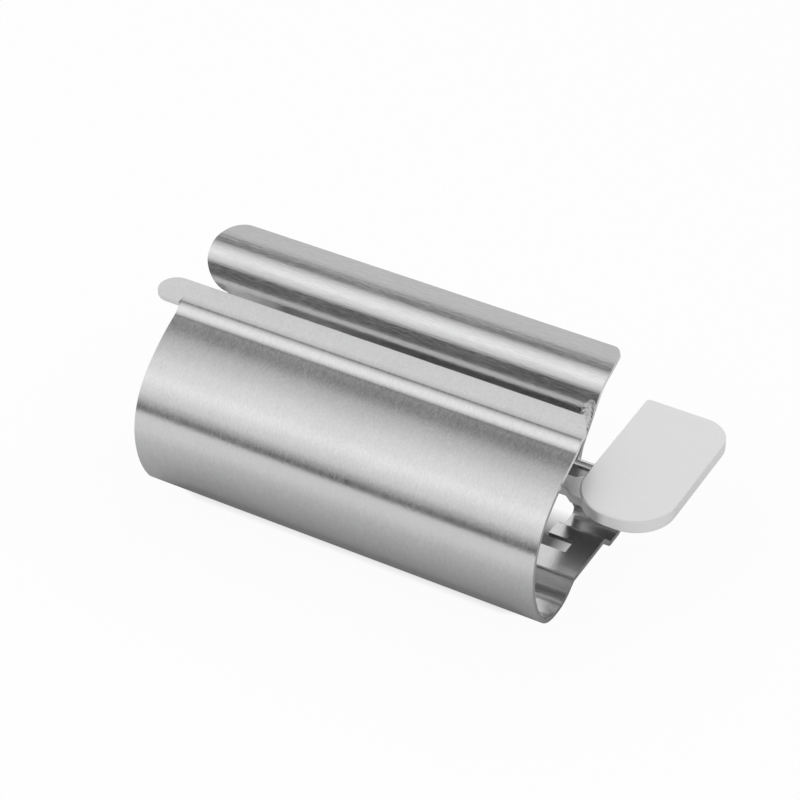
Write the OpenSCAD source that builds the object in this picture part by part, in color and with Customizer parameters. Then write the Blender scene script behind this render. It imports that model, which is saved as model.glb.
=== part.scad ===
// Table-top tube squeezer: one bent sheet makes the lip, the front wall, the belly, the foot
// and the rear wall, a second sheet makes the flared jaw, and a flat slotted key winds the tube.
// Millimetres. Z up, the base rests on z = 0, X runs along the body, the lip faces -Y.

/* [Sheet] */
// Thickness of both sheets
sheet_t = 1.0; // [0.8:0.1:1.4]
// Length of the body along X
body_len = 90; // [84:1:100]
// Air between faces that lie against each other
fit_gap = 0.05; // [0.02:0.01:0.1]

/* [Lip] */
// Depth of the lip at its rounded left end
lip_w = 7.4; // [6.4:0.1:8]
// Flat depth of the lip behind its front bend
lip_flat = 4.9; // [4.2:0.1:5.6]
// How far the rounded lip end passes the body on the left
lip_over_left = 6.6; // [4:0.1:8]
// Width of the slanted rear corner of the lip on the right
lip_cut_w = 2.6; // [1:0.1:3]
// Front to back size of the slanted corner
lip_cut_deep = 4.4; // [3.8:0.1:4.6]
// Radius of the lip's front bend, on the middle of the sheet
lip_bend_r = 3.2; // [2.4:0.1:4]
// Angle of the lip's front bend
lip_bend_deg = 50; // [45:1:60]

/* [Front wall and belly] */
// Radius of the hollow bend between the lip's front bend and the wall
neck_r = 3.9; // [3:0.1:5]
// Straight part of the wall under the neck
neck_flat = 1.1; // [0.6:0.1:2]
// Slope of the front wall above the level, just under the lip
wall_slope = 24.2; // [22:0.2:28]
// Radius of the gently rounded front wall
wall_r = 38.8; // [32:0.2:46]
// Angle of the gently rounded front wall
wall_deg = 15.8; // [12:0.2:20]
// Radius of the shoulder between wall and belly front
shoulder_r = 16.9; // [15:0.1:20]
// Radius of the belly front
belly_front_r = 23.2; // [18:0.1:25]
// Angle of the belly front arc
belly_front_deg = 33; // [30:1:45]
// Radius of the belly bottom
belly_low_r = 7.7; // [6:0.1:10]
// Width of the flat that the belly stands on
belly_flat = 1.0; // [0.6:0.1:2]

/* [Floor and foot] */
// Angle of the rise behind the belly
rise_deg = 36; // [30:1:45]
// Straight part of the rise
rise_len = 2.0; // [1:0.1:3]
// Bend radius where the floor starts
rise_r = 1.2; // [0.8:0.1:2]
// Flat length of the raised floor
floor_len = 12.6; // [10:0.1:16]
// Angle of the step down to the foot
joggle_deg = 46; // [35:1:60]
// Bend radius of the step
joggle_r = 1.0; // [0.8:0.1:1.6]
// Bend radius between foot and rear wall
heel_r = 1.6; // [1.2:0.1:3]

/* [Rear wall and jaw] */
// Lean of the rear wall above the level
rear_lean = 59.2; // [56:0.2:63]
// Radius of the knee under the jaw
knee_r = 2.2; // [1.5:0.1:3]
// Height of the rear flange behind the jaw, along the sheet
flange_len = 7.5; // [5:0.5:10]
// Air between the lip and the jaw at the narrowest place of the feed slot
slot_gap = 2.8; // [2.4:0.1:3]
// Slope of the steep flat of the jaw above the level
flare_slope = 70; // [66:0.5:74]
// Length of the steep flat above the narrowest place of the feed slot
flare_len = 4.3; // [3:0.1:7]
// Length of the steep flat below the narrowest place of the feed slot
flare_low_len = 9.8; // [9:0.1:11]
// Radius of the bend between the steep flat and the crest
crest_r = 6.6; // [5:0.1:9]
// Slope of the crest above the level
crest_slope = 22; // [16:0.5:28]
// Flat length of the crest
crest_len = 5; // [3:0.1:6]
// Radius of the rounded left end of the jaw
ear_r = 6.2; // [4:0.1:7]
// Straight edge between the two roundings of the ear
ear_flat = 1.6; // [0.5:0.1:3]
// How far the ear passes the lower part of the jaw on the left
ear_over = 5.9; // [5:0.1:9]
// Radius of the right corner of the jaw
jaw_corner_r = 1.8; // [1:0.1:3]
// How far the crest stops short of the right body end
crest_short_right = 1.2; // [0.2:0.1:1.5]
// How far the lower edge of the jaw stops short of the right body end
jaw_short_right = 3.6; // [1.6:0.1:4]
// How far the lower part of the jaw stops short of the left body end
jaw_short_left = 5.2; // [4.5:0.1:9]

/* [Cut-outs] */
// Width of the side straps beside the window
strap_w = 10.6; // [9:0.1:14]
// Width of the strap beside the floor notch
notch_strap_w = 5.0; // [4:0.1:7]
// Front to back size of the floor notch
notch_depth = 3.8; // [3:0.1:5]
// Distance from the start of the floor to the notch
notch_from = 5.6; // [4:0.1:7]
// Corner radius of the cut-outs
window_r = 0.6; // [0.4:0.1:1]
// Rear wall kept above its window
rear_bar = 2.4; // [2:0.1:4]

/* [Key] */
// Height of the key axis above the table
axis_z = 27.85; // [27.4:0.05:28.2]
// Distance of the key axis in front of the jaw's lower edge
axis_to_jaw = 7.9; // [7.4:0.05:8.4]
// Thickness of the paddle
key_t = 2.9; // [2.4:0.1:3]
// Thickness of the fork and the neck
fork_t = 2; // [1.6:0.1:2.2]
// Width of the fork over both prongs
fork_w = 4; // [3.6:0.1:4.2]
// Width of the slit that takes the tube end
slit_w = 1.1; // [0.8:0.1:1.4]
// Width of the neck where it meets the paddle
neck_w = 6.6; // [5:0.1:7]
// Length over which the fork widens to the neck
neck_len = 1.6; // [1:0.1:1.6]
// Distance of the fork tips inside the left body end
tip_inset = 1.0; // [0.5:0.1:3]
// Radius of the fork tips
tip_r = 0.7; // [0.4:0.05:0.7]
// Radial air between the fork's corners and the eyes
run_gap = 0.1; // [0.05:0.01:0.2]
// Edge break round the key
key_edge = 0.3; // [0.1:0.05:0.4]

/* [Eyes] */
// Radial width of the eye round its hole
eye_rim = 1.3; // [1:0.1:1.6]
// Length of the eye tab where it leaves the rear wall
tab_root = 9.0; // [7:0.5:10]

/* [Paddle] */
// Width of the paddle along X
paddle_w = 19.1; // [17:0.1:21]
// Length of the paddle front to back
paddle_len = 35.9; // [33:0.1:39]
// Gap between body end and paddle
paddle_gap = 0.7; // [0.6:0.1:1]
// Length of the paddle in front of the key axis
paddle_front = 5.8; // [5:0.1:6.4]
// Radius of both front corners
paddle_front_r = 8.5; // [6:0.1:8.5]
// Radius of the rear outer corner
paddle_corner_r = 6; // [4:0.1:8]
// Radius of the rear inner corner
paddle_inner_r = 0.8; // [0.5:0.1:2]

/* [End weld] */
// Radius of the bead that closes the right slot end
bead_r = 1.05; // [0.9:0.05:1.2]
// How far the bead climbs the jaw above the narrowest place of the slot
bead_climb = 2.4; // [1.5:0.1:3.5]

/* [Hidden] */
arc_step = 6;
round_fn = 64;
half_len = body_len / 2;
half_t = sheet_t / 2;
over = sheet_t;
steel = [0.74, 0.74, 0.75];
steel_light = [0.80, 0.80, 0.81];

// Bend tables: [0, length] is straight, [radius, angle] turns left when the angle is positive
function arc_n(a) = max(2, ceil(abs(a) / arc_step));
function step_pts(s, p, h) = s[0] == 0
    ? [[p + s[1] * [cos(h), sin(h)], h]]
    : [for (k = [1:arc_n(s[1])]) let (g = sign(s[1]), e = h + s[1] * k / arc_n(s[1]))
        [p + g * s[0] * [-sin(h), cos(h)] + g * s[0] * [sin(e), -cos(e)], e]];
function walk(segs, p, h, i = 0) = i == len(segs) ? []
    : let (q = step_pts(segs[i], p, h), z = q[len(q) - 1]) concat(q, walk(segs, z[0], z[1], i + 1));
function path(segs, p, h) = concat([[p, h]], walk(segs, p, h));
function last(v) = v[len(v) - 1];
function tail(v) = [for (i = [1:len(v) - 1]) v[i]];
function side(pts, d) = [for (q = pts) q[0] + d * [-sin(q[1]), cos(q[1])]];
function rev(v) = [for (i = [len(v) - 1:-1:0]) v[i]];
function band(pts) = concat(side(pts, half_t), rev(side(pts, -half_t)));

// Front half of the body, from the lip bend down to the lowest line of the belly
wall_head = 180 + wall_slope;
down_segs = [[lip_bend_r, lip_bend_deg], [neck_r, wall_slope - lip_bend_deg], [0, neck_flat],
    [wall_r, wall_deg], [shoulder_r, 270 - wall_head - wall_deg], [belly_front_r, belly_front_deg],
    [belly_low_r, 90 - belly_front_deg], [0, belly_flat]];
raw_low = last(path(down_segs, [0, 0], 180))[0];
lip_start = [belly_flat / 2 - raw_low[0], half_t - raw_low[1]];
down_pts = path(down_segs, lip_start, 180);
lip_z = lip_start[1];
lip_rear = lip_start[0] + lip_flat;
lip_front = lip_rear - lip_w;

// Jaw: its flat middle is set off the lower rear corner of the lip by the feed slot
flare_up = [cos(flare_slope), sin(flare_slope)];
flare_back = [sin(flare_slope), -cos(flare_slope)];
slot_point = [lip_rear, lip_z - half_t] + slot_gap * flare_back;
jaw_face = slot_point - flare_low_len * flare_up;
jaw_low = jaw_face + half_t * flare_back;
jaw_segs = [[0, flare_low_len + flare_len], [crest_r, crest_slope - flare_slope], [0, crest_len]];
jaw_pts = path(jaw_segs, jaw_low, flare_slope);
jaw_top = last(jaw_pts)[0];
jaw_view = (flare_slope + crest_slope) / 2;
view_down = [-cos(jaw_view), -sin(jaw_view)];
jaw_deep = (jaw_low - jaw_top) * view_down;
slot_deep = (slot_point - jaw_top) * view_down;

// Rear half of the body: flange behind the jaw, knee, leaning wall, heel, foot, step, floor
flange_low = jaw_low + (sheet_t + fit_gap) * flare_back;
flange_pts = path([[0, flange_len]], flange_low, flare_slope);
lean_head = 360 - rear_lean;
knee_raw = path([[knee_r, lean_head - 180 - flare_slope]], flange_low, 180 + flare_slope);
wall_top = last(knee_raw)[0];
heel_drop = heel_r * (1 - cos(180 - rear_lean));
rear_len = (wall_top[1] - half_t - heel_drop) / sin(rear_lean);
heel_top = wall_top + rear_len * [cos(rear_lean), -sin(rear_lean)];
heel_end = [heel_top[0] - heel_r * sin(rear_lean), half_t];
back_head_segs = [[belly_low_r, rise_deg], [0, rise_len], [rise_r, -rise_deg]];
flat_end = [belly_flat / 2, half_t];
rise_end = last(path(back_head_segs, flat_end, 0))[0];
floor_z = rise_end[1];
floor_y = rise_end[0];
joggle_len = (floor_z - half_t - 2 * joggle_r * (1 - cos(joggle_deg))) / sin(joggle_deg);
step_segs = concat(back_head_segs, [[0, floor_len], [joggle_r, -joggle_deg], [0, joggle_len],
    [joggle_r, joggle_deg]]);
step_pts_all = path(step_segs, flat_end, 0);
foot_start = last(step_pts_all)[0];
rear_pts = concat([[heel_end, 0]], walk([[heel_r, 180 - rear_lean], [0, rear_len],
    [knee_r, rear_lean - 180 + flare_slope]], heel_end, 0));
body_pts = concat(down_pts, tail(step_pts_all), rear_pts, tail(flange_pts));

// Key axis and eyes
axis_y = jaw_face[0] - axis_to_jaw;
swing_r = sqrt(fork_w * fork_w + fork_t * fork_t) / 2;
eye_hole_r = swing_r + run_gap;
eye_r = eye_hole_r + eye_rim;
window_half = half_len - strap_w;
wall_up = [-cos(rear_lean), sin(rear_lean)];
wall_in = [-sin(rear_lean), -cos(rear_lean)];
tab_top = wall_top - rear_bar * wall_up;
tab_x = window_half + half_t;

// Paddle
paddle_x = half_len + paddle_gap;
key_low = axis_z - key_t / 2;

module along_x(len_x) {
    rotate([90, 0, 90]) linear_extrude(height = len_x, center = true) children();
}

module slab(x0, x1, y0, y1) {
    translate([x0, y0]) square([x1 - x0, y1 - y0]);
}

module soft_slab(x0, x1, y0, y1, r) {
    offset(r = r, $fn = 24) offset(delta = -r) slab(x0, x1, y0, y1);
}

// Floor, step and foot opening: the window, with a wider notch along its front edge
module floor_cut() {
    y0 = floor_y + notch_from;
    soft_slab(-window_half, window_half, y0, heel_end[0] + heel_r + over, window_r);
    soft_slab(notch_strap_w - half_len, half_len - notch_strap_w, y0, y0 + notch_depth, window_r);
}

module lip_plan() {
    mid = lip_front + lip_w / 2;
    hull() {
        translate([lip_w / 2 - half_len - lip_over_left, mid]) circle(d = lip_w, $fn = round_fn);
        slab(0, half_len, lip_front, lip_rear - lip_cut_deep);
        slab(0, half_len - lip_cut_w, lip_front, lip_rear);
    }
}

// Plate of one eye in the YZ plane, from the rear wall forward to the ring round the key
module eye_plate() {
    low = tab_top - tab_root * wall_up;
    along_x(sheet_t) difference() {
        hull() {
            translate([axis_y, axis_z]) circle(r = eye_r, $fn = round_fn);
            polygon([tab_top, low, low + sheet_t * wall_in, tab_top + sheet_t * wall_in]);
        }
        translate([axis_y, axis_z]) circle(r = eye_hole_r, $fn = round_fn);
    }
}

module body_solid() {
    difference() {
        union() {
            along_x(body_len) polygon(band(body_pts));
            for (m = [0, 1]) mirror([m, 0, 0]) translate([tab_x, 0, 0]) eye_plate();
        }
        translate([0, 0, -over]) linear_extrude(height = floor_z + 2 * over) floor_cut();
        rear_window();
        flange_trim();
    }
    translate([0, 0, lip_z - half_t]) linear_extrude(height = sheet_t) difference() {
        lip_plan();
        slab(-half_len, half_len, lip_front - over, lip_start[0]);
    }
}

// Rear wall opening, which runs on from the foot opening round the heel
module rear_window() {
    reach = 2 * sheet_t * wall_in;
    along_x(2 * window_half) polygon([tab_top + reach, tab_top - reach,
        heel_top - reach + [heel_r + over, 0], [heel_end[0] + 2 * heel_r + over, -over],
        [foot_start[0], -over], [foot_start[0], floor_z], heel_top + reach]);
}

// The flange behind the jaw ends where the jaw ends, left and right
module flange_trim() {
    z0 = flange_low[1];
    x_left = jaw_short_left - half_len;
    x_right = half_len - jaw_short_right;
    translate([-body_len, flange_low[0] - knee_r, z0])
        cube([body_len + x_left, flange_len + knee_r, flange_len + over]);
    translate([x_right, flange_low[0] - knee_r, z0])
        cube([body_len, flange_len + knee_r, flange_len + over]);
}

// One bent sheet: lip, front wall, belly, floor, foot, rear wall, flange and both eyes
module body_shell() {
    color(steel) body_solid();
}

// Right edge of the jaw at depth d under the free top edge: upright on the crest, then drawn in
function jaw_right(d) = half_len - crest_short_right
    - (jaw_short_right - crest_short_right) * max(0, d - crest_len) / (jaw_deep - crest_len);

// Outline of the jaw seen from the front and above; y counts down from the free top edge
module jaw_plan() {
    left = jaw_short_left - half_len;
    ear_x = left - ear_over + ear_r;
    ear_deep = 2 * ear_r + ear_flat;
    hull() {
        translate([ear_x, ear_r]) circle(r = ear_r, $fn = round_fn);
        translate([ear_x, ear_r + ear_flat]) circle(r = ear_r, $fn = round_fn);
        translate([jaw_right(0) - jaw_corner_r, jaw_corner_r]) circle(r = jaw_corner_r, $fn = round_fn);
        polygon([[0, crest_len], [jaw_right(0), crest_len], [jaw_right(ear_deep), ear_deep], [0, ear_deep]]);
    }
    polygon([[left, ear_r], [0, ear_r], [jaw_right(ear_deep), ear_deep], [jaw_right(jaw_deep), jaw_deep],
        [jaw_right(jaw_deep), jaw_deep + over], [left, jaw_deep + over]]);
}

// Second sheet: a steep flat behind the feed slot that bends over into the crest
module rear_jaw() {
    color(steel) intersection() {
        along_x(2 * body_len) polygon(band(jaw_pts));
        translate([0, jaw_top[0], jaw_top[1]]) rotate([180 + jaw_view, 0, 0])
            linear_extrude(height = body_len, center = true) jaw_plan();
    }
}

module paddle_plan() {
    front = axis_y - paddle_front;
    rear = front + paddle_len;
    hull() {
        for (x = [paddle_x + paddle_front_r, paddle_x + paddle_w - paddle_front_r])
            translate([x, front + paddle_front_r]) circle(r = paddle_front_r, $fn = 96);
        translate([paddle_x + paddle_w - paddle_corner_r, rear - paddle_corner_r])
            circle(r = paddle_corner_r, $fn = round_fn);
        translate([paddle_x + paddle_inner_r, rear - paddle_inner_r]) circle(r = paddle_inner_r, $fn = 24);
    }
}

module fork_plan() {
    tip = tip_inset - half_len;
    for (s = [-1, 1]) hull() {
        translate([tip + tip_r, axis_y + s * (fork_w + slit_w) / 4]) circle(r = tip_r, $fn = 24);
        slab(tip + tip_r, half_len, axis_y + min(s * fork_w / 2, s * slit_w / 2),
            axis_y + max(s * fork_w / 2, s * slit_w / 2));
    }
    slab(window_half + sheet_t, paddle_x, axis_y - fork_w / 2, axis_y + fork_w / 2);
    polygon([[paddle_x - neck_len, axis_y - fork_w / 2], [paddle_x, axis_y - neck_w / 2],
        [paddle_x + paddle_front_r, axis_y - neck_w / 2], [paddle_x + paddle_front_r, axis_y + neck_w / 2],
        [paddle_x, axis_y + neck_w / 2], [paddle_x - neck_len, axis_y + fork_w / 2]]);
}

// Flat key: a thick paddle with broken edges, and a slotted fork milled thinner on both faces
module winding_key() {
    color(steel_light) {
        translate([0, 0, axis_z - fork_t / 2]) linear_extrude(height = fork_t) fork_plan();
        hull() {
            translate([0, 0, key_low + key_edge]) linear_extrude(height = key_t - 2 * key_edge) paddle_plan();
            translate([0, 0, key_low]) linear_extrude(height = key_t) offset(delta = -key_edge) paddle_plan();
        }
    }
}

// Rough bead at the right end of the feed slot: down the jaw, over the slot and under the lip
module end_weld() {
    right = jaw_right(slot_deep);
    high = slot_point + bead_climb * flare_up - bead_r / 2 * flare_back;
    middle = slot_point - slot_gap / 2 * flare_back;
    low = [lip_rear - lip_cut_deep / 2, lip_z - half_t - bead_r / 2];
    color(steel) difference() {
        for (k = [0:4]) {
            bead(right - bead_r, high + (middle - high) * k / 4);
            bead(right - 2 * bead_r, high + (middle - high) * k / 4);
            bead(right - bead_r / 2, middle + (low - middle) * k / 4);
        }
        body_solid();
        rear_jaw();
    }
}

// One drop of the bead, centred at x and at a point of the YZ plane
module bead(x, p) {
    translate([x, p[0], p[1]]) sphere(r = bead_r, $fn = 20);
}

body_shell();
rear_jaw();
winding_key();
end_weld();
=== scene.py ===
"""A stainless table-top tube squeezer: bent body sheet, flared jaw, winding key, end weld."""
import math
import bpy
import bmesh
import numpy as np
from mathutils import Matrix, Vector
from mathutils.geometry import convex_hull_2d


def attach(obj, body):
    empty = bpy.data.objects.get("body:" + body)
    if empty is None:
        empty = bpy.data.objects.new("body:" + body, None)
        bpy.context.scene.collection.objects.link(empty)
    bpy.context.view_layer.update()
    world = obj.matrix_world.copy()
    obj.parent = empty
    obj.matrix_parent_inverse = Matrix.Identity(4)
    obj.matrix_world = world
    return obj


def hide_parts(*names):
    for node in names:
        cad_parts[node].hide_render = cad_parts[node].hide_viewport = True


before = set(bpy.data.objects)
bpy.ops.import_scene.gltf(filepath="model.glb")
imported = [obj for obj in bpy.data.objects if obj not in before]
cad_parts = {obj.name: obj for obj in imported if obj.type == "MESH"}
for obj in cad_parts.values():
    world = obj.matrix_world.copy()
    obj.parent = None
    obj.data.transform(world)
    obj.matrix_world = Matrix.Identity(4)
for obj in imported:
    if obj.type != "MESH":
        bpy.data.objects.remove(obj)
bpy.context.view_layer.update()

# Camera: a long lens from the front right and above, as the product was shot. Its place was
# found from the straight edges and corners of the object.
MM = 0.001
CAMERA_PLACE = (237.19, -400.08, 400.18)
CAMERA_TURN, CAMERA_DIP = 29.61, 38.11
camera_data = bpy.data.cameras.new("camera")
camera_data.sensor_width = 36.0
camera_data.lens = 137.51
camera_data.clip_start, camera_data.clip_end = 0.05, 20.0
camera = bpy.data.objects.new("camera", camera_data)
camera.location = Vector(CAMERA_PLACE) * MM
camera.rotation_euler = (math.radians(90 - CAMERA_DIP), 0, math.radians(CAMERA_TURN))
bpy.context.scene.collection.objects.link(camera)
bpy.context.scene.camera = camera

# Body sheet: one strip of 1 mm stainless bent into lip, wall, belly, floor, foot, heel, rear
# wall and flange, with a window cut out between two side straps. It is laid out from its bend
# table, on the middle of the sheet.
SHEET, HALF = 1.0, 45.0
LIP_R, LIP_FLAT, LIP_OVER, CUT_W, CUT_DEEP = 3.7, 4.9, 6.6, 2.6, 4.4
LIP_BEND_R, LIP_BEND, NECK_R, NECK_FLAT = 3.2, 50, 3.9, 1.1
WALL_SLOPE, WALL_R, WALL_BEND, SHOULDER_R = 24.2, 38.8, 15.8, 16.9
BELLY_FRONT_R, BELLY_FRONT_BEND, BELLY_LOW_R, BELLY_FLAT = 23.2, 33, 7.7, 1.0
ARC_STEP = 2.5


def along(degrees):
    """Unit vector in the YZ plane at a slope: the cosine to the rear and the sine upwards."""
    angle = np.radians(degrees)
    return np.stack([np.cos(angle), np.sin(angle)], axis=-1)


def behind(degrees):
    """Unit vector square to along(): the sine to the rear and the cosine downwards."""
    angle = np.radians(degrees)
    return np.stack([np.sin(angle), -np.cos(angle)], axis=-1)


def walk(segments, start, heading):
    """Points along a bend table, from a start point and a heading in degrees.

    (0, length, parts) goes straight in that many parts. (radius, angle) turns left where the
    angle is positive, in equal steps of at most ARC_STEP degrees."""
    points = [np.array([start], float)]
    for radius, amount, *parts in segments:
        here = points[-1][-1]
        if radius == 0:
            reach = amount * np.arange(1, parts[0] + 1) / parts[0]
            points.append(here + reach[:, None] * along(heading))
        else:
            side = math.copysign(radius, amount)
            steps = max(3, math.ceil(abs(amount) / ARC_STEP))
            heads = heading + amount * np.arange(1, steps + 1) / steps
            points.append(here - side * behind(heading) + side * behind(heads))
            heading = heads[-1]
    return np.concatenate(points)


# Front half, from the lip's bend down to the flat that the belly stands on.
down = [(LIP_BEND_R, LIP_BEND), (NECK_R, WALL_SLOPE - LIP_BEND), (0, NECK_FLAT, 2),
        (WALL_R, WALL_BEND), (SHOULDER_R, 90 - WALL_SLOPE - WALL_BEND),
        (BELLY_FRONT_R, BELLY_FRONT_BEND), (BELLY_LOW_R, 90 - BELLY_FRONT_BEND),
        (0, BELLY_FLAT, 1)]
flat_end = np.array([BELLY_FLAT / 2, SHEET / 2])
lip_start = flat_end - walk(down, (0, 0), 180)[-1]
down_p = walk(down, lip_start, 180)
lip_z = lip_start[1]
lip_rear = lip_start[0] + LIP_FLAT
lip_mid = lip_rear - LIP_R

# The jaw stands behind the lip by the width of the slot, and the flange lies against its rear.
FLARE, FLARE_DOWN, SLOT, FIT_GAP, FLANGE = 70.0, 9.8, 2.8, 0.05, 7.5
slot_point = np.array([lip_rear, lip_z - SHEET / 2]) + SLOT * behind(FLARE)
jaw_face = slot_point - FLARE_DOWN * along(FLARE)
jaw_low = jaw_face + SHEET / 2 * behind(FLARE)
flange_low = jaw_low + (SHEET + FIT_GAP) * behind(FLARE)

# Rear wall, leaning from the knee under the jaw down to the heel.
LEAN, KNEE_R, HEEL_R, BAR = 59.2, 2.2, 1.6, 2.4
lean = math.radians(LEAN)
wall_top = walk([(KNEE_R, 180 - LEAN - FLARE)], flange_low, 180 + FLARE)[-1]
tab_top = wall_top + BAR * along(-LEAN)
heel_drop = HEEL_R * (1 + math.cos(lean))
rear_len = (wall_top[1] - SHEET / 2 - heel_drop) / math.sin(lean)
heel_top = wall_top + rear_len * along(-LEAN)
heel_end = np.array([heel_top[0] - HEEL_R * math.sin(lean), SHEET / 2])
rear = [(HEEL_R, 180 - LEAN), (0, rear_len - BAR, 8), (0, BAR, 1),
        (KNEE_R, LEAN - 180 + FLARE), (0, FLANGE, 3)]

# Floor: the rise behind the belly, the raised floor and the step down to the foot.
RISE, RISE_LEN, RISE_R = 36, 2.0, 1.2
NOTCH_FROM, NOTCH_TO, FLOOR_LEN = 5.6, 9.4, 12.6
STEP, STEP_R = 46, 1.0
step = math.radians(STEP)
climb = [(BELLY_LOW_R, RISE), (0, RISE_LEN, 2), (RISE_R, -RISE)]
floor_y, floor_z = walk(climb, flat_end, 0)[-1]
step_len = (floor_z - SHEET / 2 - 2 * STEP_R * (1 - math.cos(step))) / math.sin(step)
back = climb + [(0, NOTCH_FROM, 3), (0, NOTCH_TO - NOTCH_FROM, 2), (0, FLOOR_LEN - NOTCH_TO, 2),
                (STEP_R, -STEP), (0, step_len, 2), (STEP_R, STEP)]

# Rows of the sheet. The lip's flat gets them at equal angles of its rounded left end.
LIP_ROWS, ROW_GAP = 41, 0.05
lip_rows = lip_mid + LIP_R * np.cos(np.radians(np.linspace(0, 180, LIP_ROWS)))
flat_y = lip_rows[lip_rows > lip_start[0] + ROW_GAP]
flat_p = np.stack([flat_y, np.full_like(flat_y, lip_z)], axis=1)
body_p = np.vstack([flat_p, down_p, walk(back, flat_end, 0)[1:], walk(rear, heel_end, 0)])

# Columns of the sheet, with one at each end of the notch, the window and the flange.
WINDOW_HALF, NOTCH_HALF, JAW_LEFT, JAW_LOW_RIGHT = 34.4, 40.0, -39.8, 41.4
body_x = np.unique(np.concatenate([
    np.linspace(-HALF, -NOTCH_HALF, 4), [JAW_LEFT], np.linspace(-WINDOW_HALF, WINDOW_HALF, 29),
    np.linspace(NOTCH_HALF, JAW_LOW_RIGHT, 3), np.linspace(JAW_LOW_RIGHT, HALF, 3)]))
back_first = len(flat_p) + len(down_p)


def nearest_row(point):
    """Number of the body row, from the floor's rise on, that lies closest to a point."""
    return back_first + int(np.argmin(np.hypot(*(body_p[back_first:] - point).T)))


notch_first = nearest_row((floor_y + NOTCH_FROM, floor_z))
notch_last = nearest_row((floor_y + NOTCH_TO, floor_z))
window_last = nearest_row(tab_top)
flange_first = nearest_row(flange_low)


def grid_mesh(name, rows, columns, place, keep=None):
    """A mesh over a grid. place gives the points for arrays of row and column numbers, and
    keep, where there is one, says which cells stay."""
    verts = place(*np.indices((rows, columns)).reshape(2, -1)) * MM
    i, j = np.indices((rows - 1, columns - 1)).reshape(2, -1)
    if keep:
        stay = keep(i, j)
        i, j = i[stay], j[stay]
    corner = i * columns + j
    faces = np.stack([corner, corner + 1, corner + columns + 1, corner + columns], axis=1)
    mesh = bpy.data.meshes.new(name)
    mesh.from_pydata(verts.tolist(), [], faces.tolist())
    return mesh


def body_place(i, j):
    """Each row point carried along X. On the lip's flat, the columns beyond the notch are
    drawn in evenly, as far as the slanted right corner asks for at that depth."""
    x = body_x[j]
    y, z = body_p[i].T
    right = HALF - CUT_W * np.clip(y - (lip_rear - CUT_DEEP), 0, None) / CUT_DEEP
    drawn_in = NOTCH_HALF + (x - NOTCH_HALF) * (right - NOTCH_HALF) / (HALF - NOTCH_HALF)
    on_corner = (i < len(flat_p)) & (x > NOTCH_HALF)
    return np.stack([np.where(on_corner, drawn_in, x), y, z], axis=1)


def body_keep(i, j):
    """Leaves out the window, the wider notch and the flange beyond the jaw's ends."""
    mid = (body_x[j] + body_x[j + 1]) / 2
    window = (i >= notch_first) & (i < window_last) & (np.abs(mid) < WINDOW_HALF)
    notch = (i >= notch_first) & (i < notch_last) & (np.abs(mid) < NOTCH_HALF)
    beyond = (i >= flange_first) & ((mid < JAW_LEFT) | (mid > JAW_LOW_RIGHT))
    return ~(window | notch | beyond)


OVER_COLUMNS = 5


def over_place(i, j):
    """The lip's left end: from the body's end out to a half circle, in rows of equal angle."""
    y = lip_rows[i]
    reach = np.sqrt(np.clip(LIP_R ** 2 - (y - lip_mid) ** 2, 0, None))
    left = -HALF - LIP_OVER + LIP_R - reach
    x = -HALF + j / (OVER_COLUMNS - 1) * (left + HALF)
    return np.stack([x, y, np.full_like(y, lip_z)], axis=1)


# Its finish is brushed stainless: fine scratches that run front to back, a little waviness, and
# cloudy differences in gloss.
COOL = 1.005
FINE_DETAIL, BROAD_DETAIL, BROAD_SCALE, CLOUD_SCALE, NOISE_ROUGH = 4.0, 2.0, 0.22, 45.0, 0.6
FINE_SHARE, CLOUD_SHARE, CLOUD_GLOSS, GRAIN_DEPTH = 0.75, 0.2, 0.06, 0.00004
# Numbers of the Mix node's two colour inputs and of its colour output.
MIX_FIRST, MIX_SECOND, MIX_COLOUR = 6, 7, 2


def grey(level, blue=1.0):
    """An opaque grey whose blue part may be a trace stronger."""
    return (level, level, level * blue, 1)


class Socket:
    """A shader value that takes part in Python sums; each operator adds one Math node."""

    def __init__(self, nodes, out):
        self.nodes, self.out = nodes, out

    def math(self, operation, other=0.0, swap=False):
        """The value of one Math node over this value and another value or number."""
        first, second = (other, self) if swap else (self, other)
        return self.nodes.add("Math", 0, {0: first, 1: second}, operation=operation)

    def __add__(self, other):
        return self.math("ADD", other)

    def __radd__(self, other):
        return self.math("ADD", other, True)

    def __sub__(self, other):
        return self.math("SUBTRACT", other)

    def __rsub__(self, other):
        return self.math("SUBTRACT", other, True)

    def __mul__(self, other):
        return self.math("MULTIPLY", other)

    def __rmul__(self, other):
        return self.math("MULTIPLY", other, True)


class Nodes:
    """A node tree and the one way to add nodes to it."""

    def __init__(self, tree):
        self.tree = tree

    def put(self, value, target):
        """Links a value to an input, or sets the input to a number, a vector or a colour."""
        if isinstance(value, Socket):
            self.tree.links.new(value.out, target)
        else:
            target.default_value = value

    def add(self, kind, wanted, sockets=None, stops=(), **settings):
        """A new node: its settings and a ramp's stops first, then its inputs. Gives the wanted
        output as a value, or a list of values where a tuple of outputs is wanted."""
        node = self.tree.nodes.new("ShaderNode" + kind)
        for key, value in settings.items():
            setattr(node, key, value)
        if stops:
            node.color_ramp.interpolation = "EASE"
        for k, (place, level) in enumerate(stops):
            marks = node.color_ramp.elements
            stop = marks[k] if k < 2 else marks.new(place)
            stop.position = place
            stop.color = grey(level)
        for key, value in (sockets or {}).items():
            self.put(value, node.inputs[key])
        if isinstance(wanted, tuple):
            return [Socket(self, node.outputs[key]) for key in wanted]
        return Socket(self, node.outputs[wanted])

    def mix(self, factor, first, second):
        """The colour that lies between two colours by a factor."""
        sockets = {0: factor, MIX_FIRST: first, MIX_SECOND: second}
        return self.add("Mix", MIX_COLOUR, sockets, data_type="RGBA")


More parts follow.
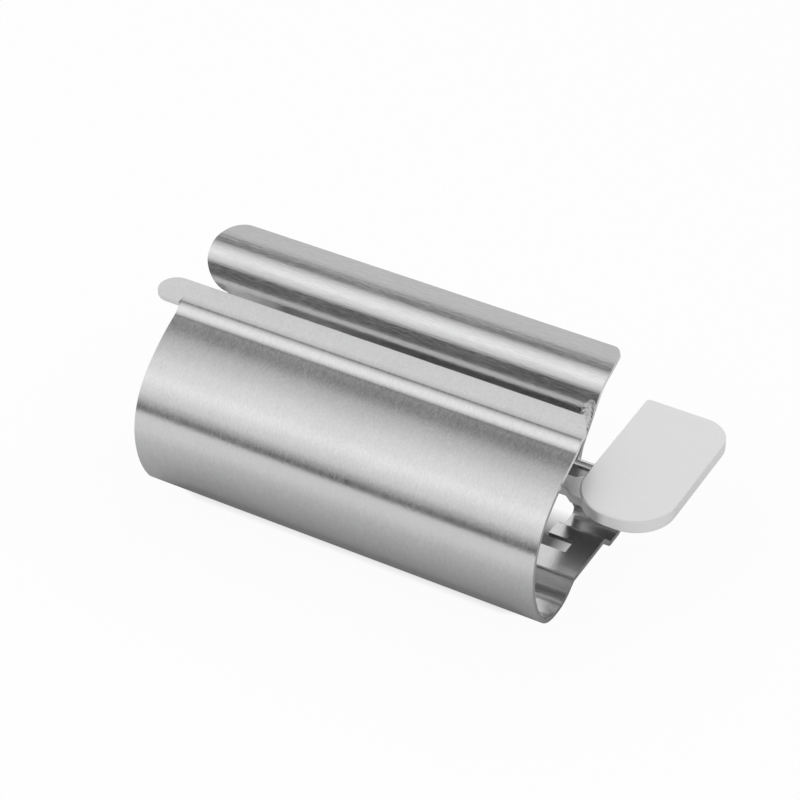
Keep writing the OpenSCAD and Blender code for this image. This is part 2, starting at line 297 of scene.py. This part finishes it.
class Finish(Nodes):
    """A material with one shader."""

    def __init__(self, name):
        self.material = bpy.data.materials.new(name)
        self.material.use_nodes = True
        super().__init__(self.material.node_tree)
        self.shader = self.tree.nodes["Principled BSDF"]

    def feed(self, inputs):
        """Links or sets the named inputs of the shader."""
        for key, value in inputs.items():
            self.put(value, self.shader.inputs[key])

    def noise(self, scale, detail):
        """Noise on object coordinates, stretched by the three scales."""
        where = self.add("TexCoord", "Object")
        stretched = self.add("Mapping", "Vector", {"Vector": where, "Scale": scale})
        return self.add("TexNoise", "Fac", {"Vector": stretched, "Scale": 1.0,
                                            "Detail": detail, "Roughness": NOISE_ROUGH})


def brushed(name, grain_scale, greys, rough, spread, relief):
    """Brushed metal. grain_scale stretches the grain, greys are its darkest and palest tone,
    spread is how far the grain moves the roughness, and relief is the strength of its bump."""
    finish = Finish(name)
    fine = finish.noise(grain_scale, FINE_DETAIL)
    broad = finish.noise(tuple(BROAD_SCALE * a for a in grain_scale), BROAD_DETAIL)
    cloud = finish.noise((CLOUD_SCALE, CLOUD_SCALE, CLOUD_SCALE), BROAD_DETAIL)
    grain = fine * FINE_SHARE + broad * (1 - FINE_SHARE)
    tone = grain * (1 - CLOUD_SHARE) + cloud * CLOUD_SHARE
    low, high = (grey(level, COOL) for level in greys)
    bump = {"Strength": relief, "Distance": GRAIN_DEPTH, "Height": grain}
    finish.feed({"Metallic": 1.0,
                 "Base Color": finish.mix(tone, low, high),
                 "Roughness": rough + (grain - 0.5) * spread + (cloud - 0.5) * CLOUD_GLOSS,
                 "Normal": finish.add("Bump", "Normal", bump)})
    return finish.material


def new_piece(name, mesh, steel):
    """A smooth object at the origin, made of that steel."""
    mesh.shade_smooth()
    mesh.materials.append(steel)
    piece = bpy.data.objects.new(name, mesh)
    bpy.context.scene.collection.objects.link(piece)
    return piece


def hand_over(piece, body, nodes):
    """Lets a piece ride on its body and stand for its CAD nodes, which it hides."""
    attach(piece, body)
    if nodes:
        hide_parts(*nodes)


ARRIS_FROM = 50


def finish_sheet(name, meshes, body, nodes, steel, thickness=SHEET, arris=0.12, merge=0.002):
    """Joins middle surfaces where points lie within merge of each other, drops loose points,
    gives the sheet its thickness and breaks the cut edges by arris."""
    bm = bmesh.new()
    for mesh in meshes:
        bm.from_mesh(mesh)
    bmesh.ops.remove_doubles(bm, verts=bm.verts, dist=merge * MM)
    loose = [v for v in bm.verts if not v.link_faces]
    bmesh.ops.delete(bm, geom=loose, context="VERTS")
    bmesh.ops.recalc_face_normals(bm, faces=bm.faces)
    bm.to_mesh(meshes[0])
    bm.free()
    piece = new_piece(name, meshes[0], steel)
    solid = piece.modifiers.new("thickness", "SOLIDIFY")
    solid.thickness = thickness * MM
    solid.offset = 0
    solid.use_even_offset = True
    bevel = piece.modifiers.new("arris", "BEVEL")
    bevel.width = arris * MM
    bevel.segments = 2
    bevel.limit_method = "ANGLE"
    bevel.angle_limit = math.radians(ARRIS_FROM)
    bevel.harden_normals = True
    hand_over(piece, body, nodes)
    return piece


sheet_steel = brushed("brushed_sheet", (4000.0, 1300.0, 1300.0), greys=(0.56, 0.99),
                      rough=0.19, spread=0.22, relief=0.5)
SEAM = 0.06
body_mesh = grid_mesh("body_sheet", len(body_p), len(body_x), body_place, body_keep)
over_mesh = grid_mesh("lip_end", len(lip_rows), OVER_COLUMNS, over_place)
finish_sheet("body_sheet", [body_mesh, over_mesh], "stand", ["body_shell"],
             sheet_steel, merge=SEAM)

# Eyes: two plates bent in from the ends of the window, each with a round hole in which the
# corners of the fork turn. They are the same 1 mm sheet as the body.
AXIS_TO_JAW, AXIS_Z = 7.9, 27.85
FORK_W, FORK_T, RUN_GAP = 4.0, 2.0, 0.1
EYE_RIM, TAB_ROOT, EYE_COLUMNS, EYE_ARRIS = 1.3, 9.0, 4, 0.1
AXIS = np.array([jaw_face[0] - AXIS_TO_JAW, AXIS_Z])
HOLE_R = math.hypot(FORK_W, FORK_T) / 2 + RUN_GAP
tab_low = tab_top + TAB_ROOT * along(-LEAN)
tab_corners = np.array([tab_top, tab_low, tab_low + behind(-LEAN), tab_top + behind(-LEAN)])


def eye_outline(angles):
    """Distance from the hole's centre to the plate's outline, the hull of the eye's round rim
    and the tab's corners: along each angle, the least distance to the line of a hull edge."""
    circle = np.linspace(0, 360, 180, endpoint=False)
    cloud = np.vstack([AXIS + (HOLE_R + EYE_RIM) * along(circle), tab_corners])
    hull = cloud[convex_hull_2d(cloud.tolist())]
    edge = np.roll(hull, -1, axis=0) - hull
    square = np.stack([edge[:, 1], -edge[:, 0]], axis=1)
    offset = ((hull - AXIS) * square).sum(axis=1)
    return 1 / (along(np.degrees(angles)) @ square.T / offset).max(axis=1)


corner_angles = [math.atan2(z, y) for y, z in tab_corners[:3] - AXIS]
eye_angles = np.unique(np.concatenate([np.linspace(-math.pi, math.pi, 97), corner_angles]))
eye_far = eye_outline(eye_angles)
for side_name, side in (("eye_right", 1), ("eye_left", -1)):
    def eye_place(i, j, side=side):
        """Polar plate: from the hole's rim out to the outline, at the window's end."""
        a = eye_angles[i]
        d = HOLE_R + (eye_far[i] - HOLE_R) * j / (EYE_COLUMNS - 1)
        x = np.full(a.shape, side * (WINDOW_HALF + SHEET / 2))
        return np.stack([x, AXIS[0] + d * np.cos(a), AXIS[1] + d * np.sin(a)], axis=1)
    eye_mesh = grid_mesh(side_name, len(eye_angles), EYE_COLUMNS, eye_place)
    finish_sheet(side_name, [eye_mesh], "stand", [], sheet_steel, arris=EYE_ARRIS)

# Jaw: a second 1 mm sheet, laid against the body's flange. Its steep flat rises close behind
# the lip and bends over into a flatter crest, which has a broad rounded ear on the left and is
# drawn in downwards on the right. Towards the free edge the crest is very slightly rounded.
FLARE_UP, CREST, CREST_R, CREST_LEN = 4.3, 22.0, 6.6, 5.0
EDGE_FLAT, EDGE_EASE, SOFT_R, SOFT_BEND, TURN_R = 3.0, 1, 24.0, 6, 6.3
EAR_R, EAR_FLAT, EAR_OVER, CORNER_R = 6.2, 1.6, 5.9, 1.8
JAW_RIGHT = 43.8
flare_len = FLARE_UP + FLARE_DOWN
crest_walk = [(0, flare_len, 1), (CREST_R, CREST - FLARE), (0, CREST_LEN, 1)]
jaw_top = walk(crest_walk, jaw_low, FLARE)[-1]
turn = FLARE - CREST + EDGE_EASE - SOFT_BEND
jaw_line = walk([(0, EDGE_FLAT, 8), (SOFT_R, SOFT_BEND), (TURN_R, turn), (0, flare_len, 24)],
                jaw_top, 180 + CREST - EDGE_EASE)
jaw_reach = np.concatenate([[0], np.cumsum(np.hypot(*np.diff(jaw_line, axis=0).T))])
jaw_depth = (jaw_top - jaw_line) @ along((FLARE + CREST) / 2)

# Its rows follow the bend and the roundings of ear and corner, and its columns close up a
# little towards both ends.
JAW_UNITS, LEAST_STEP, UNDER_EAR = 43, 0.015, 0.03
ear_deep = 2 * EAR_R + EAR_FLAT
quarter = np.radians(np.linspace(0, 90, 19))
ear_depths = np.concatenate([
    EAR_R * (1 - np.cos(quarter)), EAR_R + EAR_FLAT + EAR_R * np.sin(quarter),
    CORNER_R * (1 - np.cos(quarter)), [ear_deep + UNDER_EAR]])
ear_reach = np.interp(ear_depths, jaw_depth, jaw_reach)
jaw_s = np.unique(np.round(np.concatenate([jaw_reach, ear_reach]), 4))
jaw_s = jaw_s[np.concatenate([[True], np.diff(jaw_s) > LEAST_STEP])]
jaw_yz = np.stack([np.interp(jaw_s, jaw_reach, jaw_line[:, k]) for k in (0, 1)], axis=1)
jaw_d = np.interp(jaw_s, jaw_reach, jaw_depth)
jaw_share = np.concatenate([np.arange(4), np.linspace(4, 40, 31), np.arange(41, 44)]) / JAW_UNITS


def jaw_left(d):
    """Left end at depth d under the free edge: the ear's two roundings, then the flat's edge."""
    c = np.clip(d, EAR_R, EAR_R + EAR_FLAT)
    round_end = np.sqrt(np.clip(EAR_R ** 2 - (d - c) ** 2, 0, None))
    return np.where(d <= ear_deep, JAW_LEFT - EAR_OVER + EAR_R - round_end, JAW_LEFT)


def jaw_right(d):
    """Right end at depth d: upright down the crest, then drawn in evenly to the lower edge."""
    share = np.clip(d - CREST_LEN, 0, None) / (jaw_depth[-1] - CREST_LEN)
    return JAW_RIGHT - (JAW_RIGHT - JAW_LOW_RIGHT) * share


def jaw_place(i, j):
    """Columns spread between the left outline and the right edge with its small corner radius."""
    left = jaw_left(jaw_d[i])
    c = np.clip(CORNER_R - jaw_d[i], 0, None)
    right = jaw_right(jaw_d[i]) - CORNER_R + np.sqrt(CORNER_R ** 2 - c ** 2)
    x = left + (right - left) * jaw_share[j]
    return np.stack([x, jaw_yz[i, 0], jaw_yz[i, 1]], axis=1)


# The jaw's scratches run along its length.
jaw_steel = brushed("brushed_jaw", (500.0, 3600.0, 3600.0), greys=(0.58, 0.99),
                    rough=0.17, spread=0.2, relief=0.4)
jaw_mesh = grid_mesh("flared_jaw", len(jaw_s), len(jaw_share), jaw_place)
finish_sheet("flared_jaw", [jaw_mesh], "stand", ["rear_jaw"], jaw_steel)

# Key: a 2.9 mm paddle with tumbled edges, and a two-prong fork milled down to 2 mm so that the
# paddle's rounded outline runs on above it. Both are paler satin steel, ride on the key and
# turn in the eyes.
LEAST_EDGE, KEY_SEGMENTS = 0.02, 3
key_steel = brushed("satin_plate", (500.0, 2200.0, 500.0), greys=(0.90, 0.97),
                    rough=0.40, spread=0.10, relief=0.14)


def arc(cx, cy, r, a0, a1, n=24):
    """Points on a circle round (cx, cy) from angle a0 to a1 in degrees."""
    return np.array([cx, cy]) + r * along(np.linspace(a0, a1, n))


def edge_at(y, *places):
    """Points of a straight edge along X at these places."""
    return [[x, y] for x in places]


def key_plate(name, outline, thickness, arris, nodes):
    """A flat plate of the key from its outline, which runs anticlockwise seen from above."""
    step = np.hypot(*(outline - np.roll(outline, 1, axis=0)).T)
    outline = outline[step > LEAST_EDGE]
    verts = np.column_stack([outline, np.full(len(outline), AXIS[1])]) * MM
    mesh = bpy.data.meshes.new(name)
    mesh.from_pydata(verts.tolist(), [], [list(range(len(verts)))])
    plate = finish_sheet(name, [mesh], "key", nodes, key_steel, thickness, arris)
    plate.modifiers["arris"].segments = KEY_SEGMENTS


PAD_GAP, PAD_W, PAD_LEN, PAD_FRONT = 0.7, 19.1, 35.9, 5.8
PAD_T, PAD_ARRIS = 2.9, 0.3
PAD_FRONT_R, PAD_REAR_R, PAD_INNER_R = 8.5, 6.0, 0.8
pad_left, pad_right = HALF + PAD_GAP, HALF + PAD_GAP + PAD_W
pad_front = AXIS[0] - PAD_FRONT
pad_rear = pad_front + PAD_LEN
pad_outline = np.vstack([
    arc(pad_left + PAD_FRONT_R, pad_front + PAD_FRONT_R, PAD_FRONT_R, 180, 270, 40),
    arc(pad_right - PAD_FRONT_R, pad_front + PAD_FRONT_R, PAD_FRONT_R, 270, 360, 40),
    arc(pad_right - PAD_REAR_R, pad_rear - PAD_REAR_R, PAD_REAR_R, 0, 90, 30),
    arc(pad_left + PAD_INNER_R, pad_rear - PAD_INNER_R, PAD_INNER_R, 90, 180, 10)])
key_plate("winding_key_paddle", pad_outline, PAD_T, PAD_ARRIS, ["winding_key"])

SLIT_R, SLIT_END, NECK_W, NECK_LEN = 0.55, 35.4, 6.6, 1.6
TIP_INSET, TIP_R, FORK_ARRIS, PART, SLIT_PART = 1.0, 0.7, 0.2, 30.0, 34.0
fork_low, fork_high = AXIS[0] - FORK_W / 2, AXIS[0] + FORK_W / 2
slit_low, slit_high = AXIS[0] - SLIT_R, AXIS[0] + SLIT_R
neck_low, neck_high = AXIS[0] - NECK_W / 2, AXIS[0] + NECK_W / 2
neck_left, tip_x = pad_left - NECK_LEN, TIP_INSET - HALF + TIP_R
fork_outline = np.vstack([
    [[pad_left + PAD_FRONT_R, neck_low], [pad_left + PAD_FRONT_R, neck_high]],
    [[pad_left, neck_high]],
    edge_at(fork_high, neck_left, PART, 0, -PART),
    arc(tip_x, fork_high - TIP_R, TIP_R, 90, 180, 8),
    arc(tip_x, slit_high + TIP_R, TIP_R, 180, 270, 8),
    edge_at(slit_high, -PART, 0, SLIT_PART),
    arc(SLIT_END - SLIT_R, AXIS[0], SLIT_R, 90, -90, 9),
    edge_at(slit_low, SLIT_PART, 0, -PART),
    arc(tip_x, slit_low - TIP_R, TIP_R, 90, 180, 8),
    arc(tip_x, fork_low + TIP_R, TIP_R, 180, 270, 8),
    edge_at(fork_low, -PART, 0, PART, neck_left),
    [[pad_left, neck_low]]])
key_plate("winding_key_fork", fork_outline, FORK_T, FORK_ARRIS, [])

# End weld: the rough bead at the right end of the slot. It runs down the jaw, over the slot and
# under the lip's corner in short overlapping pulses.
BEAD_R, BEAD_CLIMB, BEAD_SEED, MELT_LEVELS = 1.0, 2.4, 4, 1
RINGS, RING_POINTS = 90, 28
PULSE, PULSE_TURN, RAGGED = 0.10, 38, 0.07
END_POWER, END_LEAST = 8, 0.002


def bead(name, route, steel):
    """A lumpy tube: circles carried along the route. Their radius swells by a sine for each
    pulse of weld metal, varies at random from point to point, and falls to almost nothing at
    both ends by an even power."""
    t = np.linspace(0, 1, RINGS)
    a = np.linspace(0, 2 * math.pi, RING_POINTS, endpoint=False)
    k = t * (len(route) - 1)
    base = np.clip(k.astype(int), 0, len(route) - 2)
    centre = route[base] + (k - base)[:, None] * (route[base + 1] - route[base])
    run = route[-1] - route[0]
    run = run / np.linalg.norm(run)
    u = np.cross(run, [1, 0, 0])
    u = u / np.linalg.norm(u)
    v = np.cross(run, u)
    chance = np.random.default_rng(BEAD_SEED).standard_normal((RINGS, RING_POINTS))
    lumps = 1 + PULSE * np.sin(t * PULSE_TURN)[:, None] + RAGGED * chance
    close = np.sqrt(np.clip(1 - (2 * t - 1) ** END_POWER, END_LEAST, 1))[:, None]
    ring = np.cos(a)[None, :, None] * u + np.sin(a)[None, :, None] * v
    verts = (centre[:, None, :] + (BEAD_R * lumps * close)[:, :, None] * ring) * MM
    p, q = np.indices((RINGS - 1, RING_POINTS)).reshape(2, -1)
    here, beside = p * RING_POINTS + q, p * RING_POINTS + (q + 1) % RING_POINTS
    sides = np.stack([here, beside, beside + RING_POINTS, here + RING_POINTS], axis=1)
    caps = [np.arange(RING_POINTS)[::-1].tolist(), (here[-RING_POINTS:] + RING_POINTS).tolist()]
    mesh = bpy.data.meshes.new(name)
    mesh.from_pydata(verts.reshape(-1, 3).tolist(), [], sides.tolist() + caps)
    bm = bmesh.new()
    bm.from_mesh(mesh)
    bmesh.ops.recalc_face_normals(bm, faces=bm.faces)
    bm.to_mesh(mesh)
    bm.free()
    piece = new_piece(name, mesh, steel)
    smooth = piece.modifiers.new("melt", "SUBSURF")
    smooth.levels = smooth.render_levels = MELT_LEVELS
    return piece


WELD_X = [41.4, 41.6, 41.9, 42.4, 43.0]
on_jaw = slot_point + BEAD_CLIMB * along(FLARE) - BEAD_R * 0.5 * behind(FLARE)
in_slot = slot_point - SLOT / 2 * behind(FLARE)
under_lip = np.array([lip_rear - CUT_DEEP / 2, lip_z - SHEET / 2 - BEAD_R / 2])
weld_yz = [on_jaw, (on_jaw + in_slot) / 2, in_slot, (in_slot + under_lip) / 2, under_lip]
weld_steel = brushed("weld_metal", (1500.0, 1500.0, 1500.0), greys=(0.45, 0.95),
                     rough=0.28, spread=0.3, relief=0.8)
weld = bead("slot_end_weld", np.column_stack([WELD_X, weld_yz]), weld_steel)
hand_over(weld, "stand", ["end_weld"])

# Table: a white top that keeps a soft shadow. The camera sees it white, but for a small field
# under the body, where the white glow is taken away and the table's real shadow shows on a
# painted dark grey.
# The metal mostly mirrors its lit surface, whose colour is a painted shadow: dark grey close to
# the body and paler with distance.
FAR, NEAR, TOP = 3.0, -0.32, -0.0002
SHADE_FIELD_X, SHADE_FIELD_MID, SHADE_FIELD_DEEP = 0.034, 0.0115, 0.0085
SHADE_COVER, SHADE_COVER_FADE = 0.95, 110.0
PAINTED_SHADOW_REACH, PAINTED_SHADOW_FADE_RATE, PAINTED_SHADOW_FADE_POWER = 0.011, 22.0, 0.5
PAINTED_SHADOW_GREY, TABLE_PALE, TABLE_ROUGH = 0.14, 0.70, 0.9
SEEN, MIRRORED = 0.965, 0.10
RAYS = ("Is Camera Ray", "Is Glossy Ray", "Is Transmission Ray")
table_mesh = bpy.data.meshes.new("table_top")
corners = [(-FAR, NEAR, TOP), (FAR, NEAR, TOP), (FAR, FAR, TOP), (-FAR, FAR, TOP)]
table_mesh.from_pydata(corners, [], [[0, 1, 2, 3]])
table_top = bpy.data.objects.new("table_top", table_mesh)
bpy.context.scene.collection.objects.link(table_top)
white = Finish("white_table")
where = white.add("TexCoord", "Object")
table_x, table_y = white.add("SeparateXYZ", ("X", "Y"), {"Vector": where})
# The painted-shade field is a box in plan, and past is the distance beyond it.
past_x = (table_x.math("ABSOLUTE") - SHADE_FIELD_X).math("MAXIMUM", 0.0)
past_y = ((table_y - SHADE_FIELD_MID).math("ABSOLUTE") - SHADE_FIELD_DEEP).math("MAXIMUM", 0.0)
past = (past_x * past_x + past_y * past_y).math("POWER", 0.5)
# Painted shade: under the body the white glow is taken away, so the dark grey shows there.
painted_shade_cover = (SHADE_COVER - past * SHADE_COVER_FADE).math("MAXIMUM", 0.0)
# Painted shadow: the table's colour is dark grey close to the body and pales with distance.
painted_shadow_fade = ((past - PAINTED_SHADOW_REACH) * PAINTED_SHADOW_FADE_RATE).math("MAXIMUM", 0.0).math("MINIMUM", 1.0)
tone = white.mix(painted_shadow_fade.math("POWER", PAINTED_SHADOW_FADE_POWER), grey(PAINTED_SHADOW_GREY, COOL), grey(TABLE_PALE, COOL))
white.feed({"Base Color": tone, "Roughness": TABLE_ROUGH})
by_camera, by_gloss, by_glass = white.add("LightPath", RAYS)
shown = by_camera * SEEN + (by_gloss + by_glass) * MIRRORED
glow = white.add("Emission", "Emission", {"Color": grey(1.0), "Strength": 1.0})
surface = white.add("MixShader", "Shader", {0: shown * (1.0 - painted_shade_cover), 2: glow,
                                            1: Socket(white, white.shader.outputs["BSDF"])})
white.put(surface, white.tree.nodes["Material Output"].inputs["Surface"])
table_mesh.materials.append(white.material)

# Surround: its brightness goes by the angle round the X axis, where 0 is level in front, 90
# overhead and 180 level behind. It is brightest in front and above and has a dark gap
# overhead. Towards both ends it fades to one even grey, and the camera sees it white.
SURROUND = [(-24, 0.50), (-9, 0.14), (1, 0.04), (9, 0.42), (20, 0.76), (44, 1.0),
            (60, 0.88), (76, 0.60), (88, 0.13), (97, 0.66), (135, 0.78), (160, 0.85)]
ENDS, ROOM_LIGHT = 0.66, 0.9
world = bpy.data.worlds.new("surround")
bpy.context.scene.world = world
world.use_nodes = True
sky = Nodes(world.node_tree)
ray = sky.add("TexCoord", "Generated")
side_x, ahead, up = sky.add("SeparateXYZ", ("X", "Y", "Z"), {"Vector": ray})
round_x = up.math("ARCTAN2", ahead * -1.0) * (1 / (2 * math.pi)) + 0.5
ramp_stops = [(angle / 360 + 0.5, level) for angle, level in SURROUND]
bands = sky.add("ValToRGB", "Color", {"Fac": round_x}, stops=ramp_stops)
side_squared = side_x * side_x
faded = sky.mix(side_squared * side_squared, bands, grey(ENDS))
to_camera, to_gloss, to_glass = sky.add("LightPath", RAYS)
strength = (to_camera + to_gloss + to_glass) * (1 - ROOM_LIGHT) + ROOM_LIGHT
background = sky.tree.nodes["Background"]
sky.put(sky.mix(to_camera, faded, grey(1.0)), background.inputs["Color"])
sky.put(strength, background.inputs["Strength"])

# Front box: one large lamp for the shadow and the broad light. The metal mirrors the surround
# in its place.
BOX_PLACE, BOX_AIM = Vector((-0.25, -0.5, 0.75)), Vector((0, 0, 0.02))
lamp = bpy.data.lights.new("front_box", "AREA")
lamp.shape = "RECTANGLE"
lamp.size, lamp.size_y, lamp.energy = 0.7, 0.5, 4.0
box = bpy.data.objects.new("front_box", lamp)
box.location = BOX_PLACE
box.rotation_mode = "QUATERNION"
box.rotation_quaternion = (BOX_AIM - BOX_PLACE).to_track_quat("-Z", "Y")
box.visible_glossy = False
bpy.context.scene.collection.objects.link(box)
bpy.context.scene.view_settings.view_transform = "Standard"
